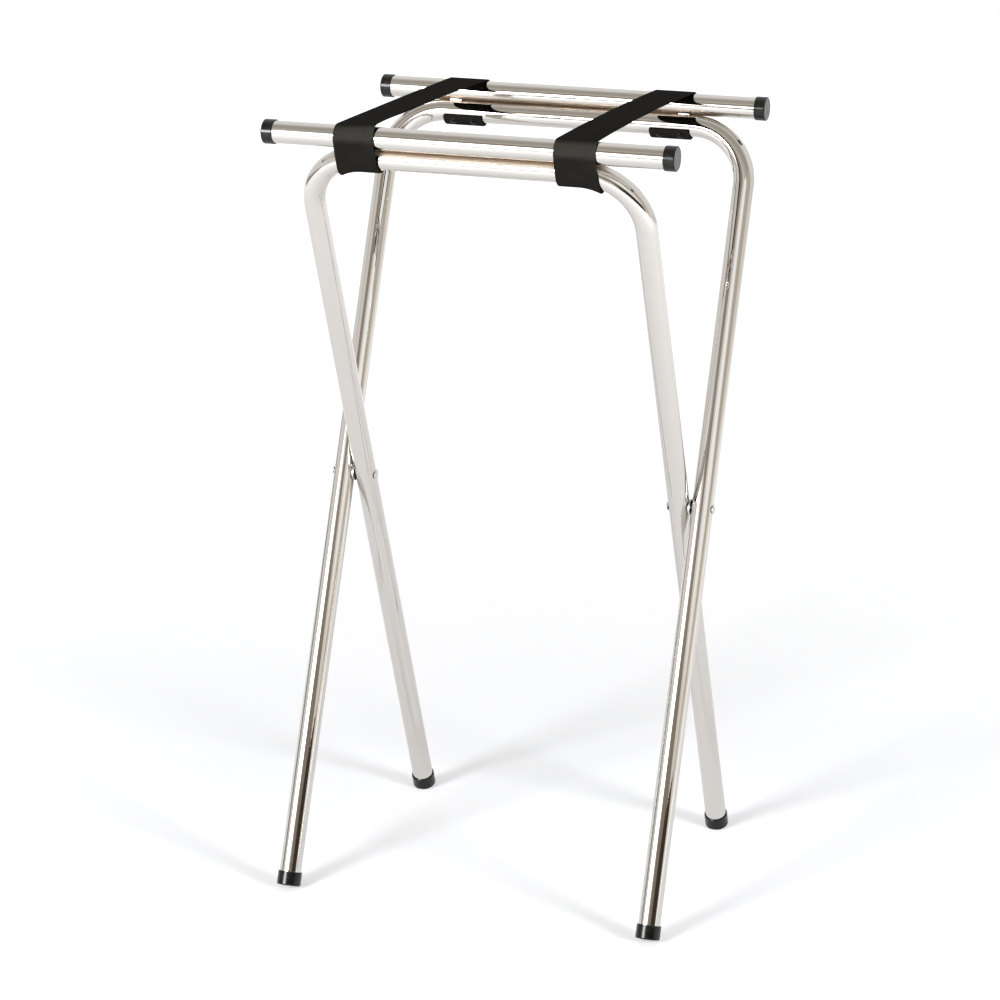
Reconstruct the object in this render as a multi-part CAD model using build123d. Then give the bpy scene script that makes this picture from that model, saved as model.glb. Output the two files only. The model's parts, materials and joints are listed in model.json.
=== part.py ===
from build123d import *
import math
import os

# Folding double-bar tray stand. Two U-shaped tube frames cross on rivets, each carries a
# straight rail along its bar, and two webbing straps over the rails stop the frames opening.
# Millimetres. +X runs along the rails, -Y is the front, +Z is up, and the origin lies on the
# floor under the line of the pivots.

# Stance of the open stand
OVERALL_HEIGHT = 914.4  # floor to the top of the rails
LEG_TILT = 21.7  # lean of each frame from upright, in degrees
PIVOT_TO_RAIL = 470.0  # pivot axis to rail axis, along the frame

# Tubes
TUBE_OD = 25.4
TUBE_WALL = 1.0
INNER_LEG_SPACING = 391.0  # inner frame, leg axis to leg axis
BEND_RADIUS = 68.0  # tube axis at the top corners
RAIL_OVERHANG = 2.2  # rail end past the outer face of the outer legs
RAIL_SEAT = 0.1  # rail to bar, bridged by the welds

# Tack welds in the grooves between rail and bar
WELD_INSET = 12.5  # middle of a bead to the start of the bar's bend
WELD_LENGTH = 14.0
WELD_RADIUS = 3.0
WELD_CENTRE = 5.0  # bead axis to the plane of the frame

# Slip-on caps
CAP_PLAY = 0.05  # tube to cap, all round
CAP_LIP = 0.5  # rounding of the caps' mouths
RAIL_CAP_WALL = 1.15
RAIL_CAP_END = 2.0
RAIL_CAP_GRIP = 11.0  # length over the tube
RAIL_CAP_EDGE = 1.4
FOOT_WALL = 1.4
FOOT_SOLE = 4.0
FOOT_GRIP = 12.5
FOOT_EDGE = 1.6
FOOT_FLAT = 0.8  # depth of the flat that stands on the floor

# Pivots
PIVOT_PLAY = 0.1  # end play at each washer and head
RIVET_SHANK = 6.35
RIVET_RUNNING_FIT = 0.05  # radial play in the holes
RIVET_HEAD = 12.0
RIVET_HEAD_HEIGHT = 2.6
RIVET_TAIL = 8.6
RIVET_TAIL_HEIGHT = 1.4
SPACER_OD = 19.0
SPACER_THICKNESS = 2.0
BACKING_OD = 9.8
BACKING_THICKNESS = 0.9

# Webbing straps
STRAP_WIDTH = 49.5
STRAP_THICKNESS = 1.7
STRAP_INSET = 66.5  # strap middle to the axis of the inner leg beside it
STRAP_RISE = 5.0  # arch of the stiff webbing above the rails, at mid-span
STRAP_SEAT = 0.3  # webbing to tube
STRAP_END = 146.0  # wrap round the bar, from its outer face, in degrees
HEM_RISE = 12.0  # hem's inner layer, up from the bar's axis

# Rivets of the strap ends
TACK_SHANK = 3.2
TACK_PLAY = 0.05
TACK_HEAD = 9.0
TACK_DOME = 1.6
TACK_TAIL = 5.2
TACK_TAIL_LENGTH = 4.0
TACK_PITCH = 25.4
TACK_ANGLE = 122.0  # round the bar, from its outer face, in degrees

# Worked-out sizes
LEAN_SIN = math.sin(math.radians(LEG_TILT))
LEAN_COS = math.cos(math.radians(LEG_TILT))
TUBE_R = TUBE_OD / 2
TUBE_BORE_R = TUBE_R - TUBE_WALL
RAIL_HEIGHT = OVERALL_HEIGHT - TUBE_R
RAIL_REACH = PIVOT_TO_RAIL * LEAN_SIN
PIVOT_HEIGHT = RAIL_HEIGHT - PIVOT_TO_RAIL * LEAN_COS
RAIL_TO_BAR = TUBE_OD + RAIL_SEAT
BAR_LEVEL = PIVOT_TO_RAIL - RAIL_TO_BAR
LEG_STEP = TUBE_OD + SPACER_THICKNESS + 2 * PIVOT_PLAY
OUTER_LEG_SPACING = INNER_LEG_SPACING + 2 * LEG_STEP
RAIL_LENGTH = OUTER_LEG_SPACING + TUBE_OD + 2 * RAIL_OVERHANG
FOOT_R = TUBE_R + CAP_PLAY + FOOT_WALL
FOOT_EDGE_LIFT = FOOT_EDGE * (LEAN_COS + LEAN_SIN - 1)
FOOT_LEVEL = (PIVOT_HEIGHT - FOOT_R * LEAN_SIN + FOOT_EDGE_LIFT + FOOT_FLAT) / LEAN_COS
LEG_END = FOOT_LEVEL - FOOT_SOLE
PIVOT_HOLE_R = RIVET_SHANK / 2 + RIVET_RUNNING_FIT
STRAP_MIDDLE = INNER_LEG_SPACING / 2 - STRAP_INSET
STRAP_INNER_R = TUBE_R + STRAP_SEAT
STRAP_OUTER_R = STRAP_INNER_R + STRAP_THICKNESS
HEM_OUTER_R = STRAP_OUTER_R + STRAP_THICKNESS
TACK_HOLE_R = TACK_SHANK / 2 + TACK_PLAY
HEAD_SEAT = INNER_LEG_SPACING / 2 - TUBE_R - PIVOT_PLAY
SPACER_SEAT = INNER_LEG_SPACING / 2 + TUBE_R + PIVOT_PLAY
BACKING_SEAT = OUTER_LEG_SPACING / 2 + TUBE_R + PIVOT_PLAY

# The arch of the span runs tangent off the webbing round both rails.
ARCH_TO_RAIL = (RAIL_REACH**2 + STRAP_RISE**2) / (2 * STRAP_RISE)
ARCH_INNER_R = ARCH_TO_RAIL + STRAP_INNER_R
ARCH_OUTER_R = ARCH_INNER_R + STRAP_THICKNESS
ARCH_HALF_ANGLE = math.degrees(math.asin(RAIL_REACH / ARCH_TO_RAIL))
ARCH_CENTRE = (0.0, RAIL_HEIGHT + STRAP_RISE - ARCH_TO_RAIL)

SIDES = {"left": -1, "right": 1}
TUBE_SECTION = Circle(TUBE_R) - Circle(TUBE_BORE_R)
CLOSED = 1e-6  # ends this near each other need no line between them

# A frame is drawn with X along the bar, Y up the legs from the pivots and Z out of its outer
# face, and leans its top to the front. The outer frame is then turned half round.
LEANING = Plane((0, 0, PIVOT_HEIGHT), x_dir=(1, 0, 0), z_dir=(0, -LEAN_COS, -LEAN_SIN)).location


def polar(centre, radius, degrees):
    """Point round a centre, turned from +Y towards -X."""
    angle = math.radians(degrees)
    return (centre[0] - radius * math.sin(angle), centre[1] + radius * math.cos(angle))


def arc_round(centre, radius, start, end):
    """Arc round a centre between two turns from +Y."""
    turns = (start, (start + end) / 2, end)
    return ThreePointArc(*[polar(centre, radius, turn) for turn in turns])


def dome(base, radius, height):
    """Rim, shoulder and crown of a domed head that stands along X; a negative height faces -X."""
    ball = (radius**2 + height**2) / (2 * height)
    half = math.asin(radius / abs(ball)) / 2
    shoulder = (base + height - ball * (1 - math.cos(half)), abs(ball) * math.sin(half))
    return [(base, radius), shoulder, (base + height, 0)]


def closed_face(curves):
    """Face inside curves that follow each other, with straight lines between their ends."""
    edges = list(curves)
    for first, second in zip(curves, curves[1:] + curves[:1]):
        if (first @ 1 - second @ 0).length > CLOSED:
            edges.append(Line(first @ 1, second @ 0))
    return make_face(edges)


def handed(shape, hand):
    """A right-hand shape, or its mirror image for the left."""
    return shape if hand > 0 else mirror(shape, about=Plane.YZ)


def leg_axis(spacing):
    """Axis of a U frame's tube, from one foot round to the other."""
    reach = spacing / 2
    corners = [(-reach, -LEG_END), (-reach, BAR_LEVEL), (reach, BAR_LEVEL), (reach, -LEG_END)]
    return FilletPolyline(*corners, radius=BEND_RADIUS)


def along_legs(section, spacing):
    """A section carried along the axis of a U frame, its X out of the U and its Y out of the outer face."""
    axis = leg_axis(spacing)
    return sweep(Plane(axis @ 0, x_dir=(-1, 0, 0), z_dir=axis % 0) * section, path=axis)


def on_bar(x, spacing):
    """Place on the bar's axis at a distance from its middle, turned along the right-hand bend."""
    bend_start = spacing / 2 - BEND_RADIUS
    if x <= bend_start:
        return Pos(x, BAR_LEVEL, 0)
    turn = math.degrees(math.asin((x - bend_start) / BEND_RADIUS))
    return Pos(bend_start, BAR_LEVEL - BEND_RADIUS, 0) * Rotation(0, 0, -turn) * Pos(0, BEND_RADIUS, 0)


def tack_places(spacing):
    """Places of the right-hand strap's rivets on the bar, each with X out of the tube."""
    offsets = (STRAP_MIDDLE - TACK_PITCH / 2, STRAP_MIDDLE + TACK_PITCH / 2)
    return [on_bar(x, spacing) * Rotation(TACK_ANGLE, 0, 0) * Rotation(0, -90, 0) for x in offsets]


def tack_hole():
    """Hole for a strap rivet, along X through one side of the tube and the hem."""
    return extrude(Plane.YZ * Circle(TACK_HOLE_R), amount=2 * HEM_OUTER_R)


def leg_frame(spacing):
    """U frame of bent tube, with its pivot holes and the holes of the strap rivets."""
    tube = along_legs(TUBE_SECTION, spacing)
    pivot_hole = Pos(spacing / 2, 0, 0) * Rotation(0, 90, 0) * Cylinder(PIVOT_HOLE_R, 2 * TUBE_OD)
    holes = [pivot_hole] + [place * tack_hole() for place in tack_places(spacing)]
    for hand in SIDES.values():
        for hole in holes:
            tube -= handed(hole, hand)
    return tube


def top_rail():
    """Straight tube along the top of the bar."""
    return Pos(0, PIVOT_TO_RAIL, 0) * extrude(Plane.YZ * TUBE_SECTION, amount=RAIL_LENGTH / 2, both=True)


def rail_welds(spacing):
    """Right-hand beads in the grooves between rail and bar, on both faces."""
    rail = Pos(0, PIVOT_TO_RAIL, 0) * Rotation(0, 90, 0) * Cylinder(TUBE_R, RAIL_LENGTH)
    bar = along_legs(Circle(TUBE_R), spacing)
    middle = spacing / 2 - BEND_RADIUS - WELD_INSET
    groove = Pos(middle, PIVOT_TO_RAIL - RAIL_TO_BAR / 2, 0)
    rod = Rotation(0, 90, 0) * Cylinder(WELD_RADIUS, WELD_LENGTH)
    return [groove * Pos(0, 0, z) * rod - rail - bar for z in (-WELD_CENTRE, WELD_CENTRE)]


def cap(wall, end, grip, edge):
    """Slip-on cap for a tube that starts at Y 0 and runs along +Y."""
    inner = TUBE_R + CAP_PLAY
    outer = inner + wall
    outline = [
        Line((0, 0), (0, -end)),
        arc_round((outer - edge, edge - end), edge, 180, 270),
        arc_round((outer - CAP_LIP, grip - CAP_LIP), CAP_LIP, 270, 360),
        Line((inner, grip), (inner, 0)),
    ]
    return revolve(closed_face(outline), Axis.Y)


def rail_cap():
    """Cap on the right-hand end of a rail."""
    shell = cap(RAIL_CAP_WALL, RAIL_CAP_END, RAIL_CAP_GRIP, RAIL_CAP_EDGE)
    return Pos(RAIL_LENGTH / 2, PIVOT_TO_RAIL, 0) * Rotation(0, 0, 90) * shell


def foot(spacing):
    """Foot cap on the end of the right-hand leg, before its flat is cut."""
    shell = cap(FOOT_WALL, FOOT_SOLE, FOOT_GRIP, FOOT_EDGE)
    return Pos(spacing / 2, -LEG_END, 0) * shell


def washer(outer_diameter, thickness, x):
    """Flat washer on the pivot axis that starts at a distance from the middle."""
    ring = Circle(outer_diameter / 2) - Circle(PIVOT_HOLE_R)
    return Pos(x, 0, PIVOT_HEIGHT) * extrude(Plane.YZ * ring, amount=thickness)


def pivot_rivet(head, tail):
    """Right-hand rivet between the seats of its domed head and its clinched tail."""
    outline = [
        Line((tail, RIVET_SHANK / 2), (head, RIVET_SHANK / 2)),
        ThreePointArc(*dome(head, RIVET_HEAD / 2, -RIVET_HEAD_HEIGHT)),
        ThreePointArc(*reversed(dome(tail, RIVET_TAIL / 2, RIVET_TAIL_HEIGHT))),
    ]
    return Pos(0, 0, PIVOT_HEIGHT) * revolve(closed_face(outline), Axis.X)


def across_strap(outline):
    """An outline in the YZ plane extruded over the width of the right-hand strap."""
    band = extrude(Plane.YZ * closed_face(outline), amount=STRAP_WIDTH / 2, both=True)
    return Pos(STRAP_MIDDLE, 0, 0) * band


def strap_wrap(spacing):
    """Right-hand strap end: over the rail, down its outer face and hemmed round the bar."""
    rail, bar = (PIVOT_TO_RAIL, 0), (0, 0)
    top = ARCH_HALF_ANGLE - LEG_TILT - 90
    hem_top = BAR_LEVEL + HEM_RISE
    drop = PIVOT_TO_RAIL - hem_top
    slant = math.acos(STRAP_OUTER_R / math.hypot(drop, HEM_OUTER_R))
    leave = math.degrees(math.atan2(drop, HEM_OUTER_R) - slant)
    over_rail = [
        arc_round(rail, STRAP_INNER_R, top, 0),
        Line((BAR_LEVEL, STRAP_INNER_R), (BAR_LEVEL, HEM_OUTER_R)),
        Line((hem_top, HEM_OUTER_R), polar(rail, STRAP_OUTER_R, leave)),
        arc_round(rail, STRAP_OUTER_R, leave, top),
    ]
    round_bar = [
        Line((HEM_RISE, HEM_OUTER_R), (HEM_RISE, STRAP_INNER_R)),
        arc_round(bar, STRAP_INNER_R, 0, STRAP_END),
        arc_round(bar, HEM_OUTER_R, STRAP_END, 0),
    ]
    width = Pos(STRAP_MIDDLE, BAR_LEVEL, 0) * Box(STRAP_WIDTH, 2 * BEND_RADIUS, 2 * BEND_RADIUS)
    wrap = across_strap(over_rail) + (along_legs(closed_face(round_bar), spacing) & width)
    for place in tack_places(spacing):
        wrap -= place * tack_hole()
    return wrap


def strap_span():
    """Front half of the right-hand strap's span, arched from the rail to mid-span."""
    outline = [
        arc_round(ARCH_CENTRE, ARCH_INNER_R, ARCH_HALF_ANGLE, 0),
        arc_round(ARCH_CENTRE, ARCH_OUTER_R, 0, ARCH_HALF_ANGLE),
    ]
    return across_strap(outline)


def strap_tacks(spacing):
    """Blind rivets of the right-hand strap end, their heads drawn down on the hem."""
    head_r, tail_r = TACK_HEAD / 2, TACK_TAIL / 2
    rim = math.sqrt(HEM_OUTER_R**2 - head_r**2)
    tail_top = math.sqrt(TUBE_BORE_R**2 - tail_r**2) - TACK_PLAY
    head = [Line((rim, 0), (rim, head_r)), ThreePointArc(*dome(HEM_OUTER_R, head_r, TACK_DOME))]
    body = [
        Line((tail_top - TACK_TAIL_LENGTH, 0), (tail_top - TACK_TAIL_LENGTH, tail_r)),
        Line((tail_top, tail_r), (tail_top, TACK_SHANK / 2)),
        Line((HEM_OUTER_R + TACK_DOME / 2, TACK_SHANK / 2), (HEM_OUTER_R + TACK_DOME / 2, 0)),
    ]
    head_solid = revolve(closed_face(head), Axis.X)
    body_solid = revolve(closed_face(body), Axis.X)
    hem = along_legs(Circle(HEM_OUTER_R + TACK_PLAY), spacing)
    return [(place * head_solid - hem) + place * body_solid for place in tack_places(spacing)]


def pair(shapes):
    """Right-hand shapes and their mirror images as one group."""
    both = [handed(shape, hand) for hand in SIDES.values() for shape in shapes]
    return Compound([solid for shape in both for solid in shape.solids()])


nodes = {}
for frame, end, turn, spacing in (
    ("inner", "front", Rotation(0, 0, 0), INNER_LEG_SPACING),
    ("outer", "rear", Rotation(0, 0, 180), OUTER_LEG_SPACING),
):
    place = turn * LEANING
    wrap = strap_wrap(spacing)
    nodes[f"{frame}_leg_frame"] = place * leg_frame(spacing)
    nodes[f"{frame}_top_rail"] = place * top_rail()
    nodes[f"{frame}_rail_welds"] = place * pair(rail_welds(spacing))
    nodes[f"{frame}_strap_rivets"] = place * pair(strap_tacks(spacing))
    for side, hand in SIDES.items():
        local_hand = hand if frame == "inner" else -hand
        standing_foot = place * handed(foot(spacing), local_hand)
        nodes[f"{frame}_rail_cap_{side}"] = place * handed(rail_cap(), local_hand)
        nodes[f"{frame}_foot_{side}"] = split(standing_foot, bisect_by=Plane.XY, keep=Keep.TOP)
        nodes[f"{side}_strap_{end}_wrap"] = place * handed(wrap, local_hand)
        nodes[f"{side}_strap_{end}_span"] = turn * handed(strap_span(), local_hand)

for side, hand in SIDES.items():
    rivet = pivot_rivet(HEAD_SEAT, BACKING_SEAT + BACKING_THICKNESS)
    nodes[f"pivot_rivet_{side}"] = handed(rivet, hand)
    nodes[f"pivot_spacer_{side}"] = handed(washer(SPACER_OD, SPACER_THICKNESS, SPACER_SEAT), hand)
    nodes[f"pivot_backing_{side}"] = handed(washer(BACKING_OD, BACKING_THICKNESS, BACKING_SEAT), hand)

os.makedirs("parts", exist_ok=True)
for name, shape in nodes.items():
    export_step(shape, f"parts/{name}.step")
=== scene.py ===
"""Dresses the folding tray stand: chrome tube frames, vinyl caps and feet, plated rivets, webbing straps."""

from __future__ import annotations

import json
import logging
import math
from dataclasses import dataclass
from enum import Enum
from typing import Any

import bpy
from bpy.types import Material, Node, NodeOutputs, NodeSocket, NodeTree, Object
from mathutils import Matrix, Vector

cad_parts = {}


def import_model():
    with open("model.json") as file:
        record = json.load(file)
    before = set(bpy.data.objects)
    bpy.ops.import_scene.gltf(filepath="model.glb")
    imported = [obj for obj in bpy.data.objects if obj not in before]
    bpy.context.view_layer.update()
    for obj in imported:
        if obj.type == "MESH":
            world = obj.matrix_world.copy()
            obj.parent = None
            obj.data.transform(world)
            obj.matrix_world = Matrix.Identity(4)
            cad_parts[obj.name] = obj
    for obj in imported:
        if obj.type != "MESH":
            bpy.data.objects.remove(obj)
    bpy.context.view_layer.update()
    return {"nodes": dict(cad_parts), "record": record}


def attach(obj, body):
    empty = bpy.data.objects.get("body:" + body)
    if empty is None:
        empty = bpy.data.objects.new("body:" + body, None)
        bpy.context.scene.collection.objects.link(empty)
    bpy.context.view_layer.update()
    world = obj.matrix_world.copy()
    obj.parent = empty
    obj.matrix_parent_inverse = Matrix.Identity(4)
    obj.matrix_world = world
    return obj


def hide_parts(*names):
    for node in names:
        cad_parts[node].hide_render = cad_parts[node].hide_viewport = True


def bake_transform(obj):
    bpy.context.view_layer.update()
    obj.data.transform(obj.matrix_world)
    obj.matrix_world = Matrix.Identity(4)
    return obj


log = logging.getLogger("tray_stand")

# Sockets of a Mix node, by number: its factor, its two values and its two colours, with what comes out.
FACTOR = 0
VALUE_A, VALUE_B, VALUE_OUT = 2, 3, 0
COLOUR_A, COLOUR_B, COLOUR_OUT = 6, 7, 2


def linear(code: str) -> tuple[float, float, float, float]:
    """Turns an sRGB hex colour into linear RGBA.

    Args:
        code: Colour such as "#1A2B3C".

    Returns:
        Linear red, green, blue and an alpha of 1.
    """
    parts = [int(code[i : i + 2], 16) / 255 for i in (1, 3, 5)]
    red, green, blue = (c / 12.92 if c <= 0.04045 else ((c + 0.055) / 1.055) ** 2.4 for c in parts)
    return red, green, blue, 1.0


@dataclass(frozen=True)
class Nodes:
    """A tree of shader nodes."""

    tree: NodeTree

    def feed(self, node: Node, inputs: dict) -> None:
        """Gives the inputs of a node their values and links.

        Args:
            node: The node.
            inputs: Values or output sockets, by the input's name or number.
        """
        for socket, value in inputs.items():
            if isinstance(value, NodeSocket):
                self.tree.links.new(value, node.inputs[socket])
            else:
                node.inputs[socket].default_value = value

    def add(self, kind: str, inputs: dict | None = None, **settings: Any) -> NodeOutputs:
        """Adds a node with its settings, values and links.

        Args:
            kind: Blender's type name of the node, without the "ShaderNode" that it starts with.
            inputs: Values or output sockets, by the input's name or number.
            **settings: Properties of the node itself.

        Returns:
            The outputs of the new node.
        """
        node = self.tree.nodes.new(f"ShaderNode{kind}")
        for name, value in settings.items():
            setattr(node, name, value)
        self.feed(node, inputs or {})
        return node.outputs


def blank_material(name: str) -> tuple[Material, Nodes, Node]:
    """Starts a material.

    Args:
        name: Name of the material.

    Returns:
        The material, its nodes and its Principled shader.
    """
    material = bpy.data.materials.new(name)
    material.use_nodes = True
    return material, Nodes(material.node_tree), material.node_tree.nodes["Principled BSDF"]


def glowing_material(name: str) -> tuple[Material, Nodes, Node]:
    """Starts a material that has no Principled shader.

    Args:
        name: Name of the material.

    Returns:
        The material, its nodes and its output.
    """
    material, nodes, shader = blank_material(name)
    nodes.tree.nodes.remove(shader)
    return material, nodes, nodes.tree.nodes["Material Output"]


@dataclass(frozen=True)
class ChromePlate:
    """Bright chrome over nickel on drawn steel tube."""

    name: str = "chrome_plate"
    cool: str = "#D0CDCA"
    warm: str = "#CDC9C2"
    # Tone deep in the groove between the tubes: partly nickel, partly painted shade.
    nickel_and_shade: str = "#A6927D"
    # Roughness of the polish, of its haze and of the nickel.
    smooth: float = 0.03
    hazy: float = 0.06
    dull: float = 0.80
    haze_size: float = 0.040
    # Part of the noise over which polish turns to haze.
    haze_range: tuple[float, float] = (0.4, 0.75)
    peel_size: float = 0.009
    peel_depth: float = 0.00002

    def material(self) -> Material:
        """Makes the plate.

        Returns:
            A metal with slightly uneven polish.
        """
        # A mirror a shade darker than silver, with hazy patches where hands wiped it and the
        # shallow waviness of plated tube, which makes straight reflections waver. Chrome hardly
        # reaches into the groove between the tubes, so dull, yellower nickel shows there, and the
        # groove is painted darker still: painted shade of the crevice.
        material, nodes, shader = blank_material(self.name)
        place = nodes.add("TexCoord")["Object"]
        haze = nodes.add("TexNoise", {"Vector": place, "Scale": 1 / self.haze_size, "Detail": 4.0})["Fac"]
        tones = {FACTOR: haze, COLOUR_A: linear(self.cool), COLOUR_B: linear(self.warm)}
        tint = nodes.add("Mix", tones, data_type="RGBA")[COLOUR_OUT]
        start, end = self.haze_range
        span = {"From Min": start, "From Max": end, "To Min": self.smooth, "To Max": self.hazy}
        polish = nodes.add("MapRange", {"Value": haze, **span})["Result"]
        peel = nodes.add("TexNoise", {"Vector": place, "Scale": 1 / self.peel_size, "Detail": 1.0})["Fac"]
        bump = nodes.add("Bump", {"Height": peel, "Distance": self.peel_depth, "Strength": 1.0})["Normal"]
        # Deep in the groove the plate is painted darker and yellower: partly bare nickel, partly painted
        # shade.
        recess = nodes.add("Attribute", attribute_name="recess")["Fac"]
        tones = {FACTOR: recess, COLOUR_A: tint, COLOUR_B: linear(self.nickel_and_shade)}
        plate_and_shade = nodes.add("Mix", tones, data_type="RGBA")[COLOUR_OUT]
        sheen = nodes.add("Mix", {FACTOR: recess, VALUE_A: polish, VALUE_B: self.dull})[VALUE_OUT]
        nodes.feed(shader, {"Base Color": plate_and_shade, "Roughness": sheen, "Normal": bump, "Metallic": 1.0})
        return material


@dataclass(frozen=True)
class PlatedSteel:
    """Zinc-plated steel of the pivot rivets and washers."""

    name: str = "zinc_plated_steel"
    bright: str = "#DAD9D6"
    dull: str = "#C4C3BF"
    # Roughness of the dull grain and of the bright.
    roughness: tuple[float, float] = (0.42, 0.30)
    grain_size: float = 0.0014
    grain_depth: float = 0.00004

    def material(self) -> Material:
        """Makes the plated steel.

        Returns:
            A greyer metal than the tubes, with a fine barrelled grain.
        """
        # Barrel plating leaves a soft sheen rather than a mirror, and fine scuffs all over.
        material, nodes, shader = blank_material(self.name)
        place = nodes.add("TexCoord")["Object"]
        grain = nodes.add("TexNoise", {"Vector": place, "Scale": 1 / self.grain_size, "Detail": 5.0})["Fac"]
        tones = {FACTOR: grain, COLOUR_A: linear(self.dull), COLOUR_B: linear(self.bright)}
        tint = nodes.add("Mix", tones, data_type="RGBA")[COLOUR_OUT]
        dull, bright = self.roughness
        sheen = nodes.add("MapRange", {"Value": grain, "To Min": dull, "To Max": bright})["Result"]
        bump = nodes.add("Bump", {"Height": grain, "Distance": self.grain_depth, "Strength": 0.6})["Normal"]
        nodes.feed(shader, {"Base Color": tint, "Roughness": sheen, "Normal": bump, "Metallic": 1.0})
        return material


@dataclass(frozen=True)
class BlackenedSteel:
    """Black-oxide steel of the strap rivets."""

    name: str = "black_oxide_steel"
    black: str = "#181817"
    rubbed_and_highlit: str = "#34332F"
    # Roughness of the whole coat and of the rubbed spots.
    roughness: tuple[float, float] = (0.5, 0.36)
    wear_size: float = 0.003
    # Part of the noise over which the coat wears thin.
    wear_range: tuple[float, float] = (0.45, 0.75)

    def material(self) -> Material:
        """Makes the blackened steel.

        Returns:
            A dark satin metal, rubbed brighter in spots.
        """
        # Oiled black oxide: nearly as dark as the webbing, with a dull glint on the domes where
        # the coat has rubbed thin.
        material, nodes, shader = blank_material(self.name)
        place = nodes.add("TexCoord")["Object"]
        wear = nodes.add("TexNoise", {"Vector": place, "Scale": 1 / self.wear_size, "Detail": 4.0})["Fac"]
        start, end = self.wear_range
        thin = nodes.add("MapRange", {"Value": wear, "From Min": start, "From Max": end})["Result"]
        tones = {FACTOR: thin, COLOUR_A: linear(self.black), COLOUR_B: linear(self.rubbed_and_highlit)}
        tint = nodes.add("Mix", tones, data_type="RGBA")[COLOUR_OUT]
        whole, rubbed_and_highlit = self.roughness
        sheen = nodes.add("MapRange", {"Value": thin, "To Min": whole, "To Max": rubbed_and_highlit})["Result"]
        nodes.feed(shader, {"Base Color": tint, "Roughness": sheen, "Metallic": 1.0})
        return material


@dataclass(frozen=True)
class MouldedVinyl:
    """Black vinyl of the slip-on caps and feet."""

    name: str = "moulded_vinyl"
    deep: str = "#080807"
    dusty: str = "#161614"
    # Roughness of the clean skin and of the dusty.
    roughness: tuple[float, float] = (0.16, 0.30)
    # Clean vinyl has an index of about 1.53: a handled skin mirrors less.
    index: float = 1.38
    dust_size: float = 0.011
    # Part of the noise over which dust thickens.
    dust_range: tuple[float, float] = (0.35, 0.8)
    pebble_size: float = 0.0012
    pebble_depth: float = 0.00004

    def material(self) -> Material:
        """Makes the vinyl.

        Returns:
            A soft-gloss black plastic.
        """
        # Dip-moulded vinyl: a wet-looking black that shows bright bands of light, broken by a faint
        # pebble and by dust and rubs that lift the black to charcoal.
        material, nodes, shader = blank_material(self.name)
        place = nodes.add("TexCoord")["Object"]
        dust = nodes.add("TexNoise", {"Vector": place, "Scale": 1 / self.dust_size, "Detail": 6.0})["Fac"]
        start, end = self.dust_range
        film = nodes.add("MapRange", {"Value": dust, "From Min": start, "From Max": end})["Result"]
        tones = {FACTOR: film, COLOUR_A: linear(self.deep), COLOUR_B: linear(self.dusty)}
        tint = nodes.add("Mix", tones, data_type="RGBA")[COLOUR_OUT]
        clean, dusty = self.roughness
        gloss = nodes.add("MapRange", {"Value": film, "To Min": clean, "To Max": dusty})["Result"]
        skin = {"Vector": place, "Scale": 1 / self.pebble_size, "Detail": 2.0}
        pebble = nodes.add("TexNoise", skin)["Fac"]
        bump = nodes.add("Bump", {"Height": pebble, "Distance": self.pebble_depth, "Strength": 0.5})["Normal"]
        nodes.feed(shader, {"Base Color": tint, "Roughness": gloss, "Normal": bump, "IOR": self.index})
        return material


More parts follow.
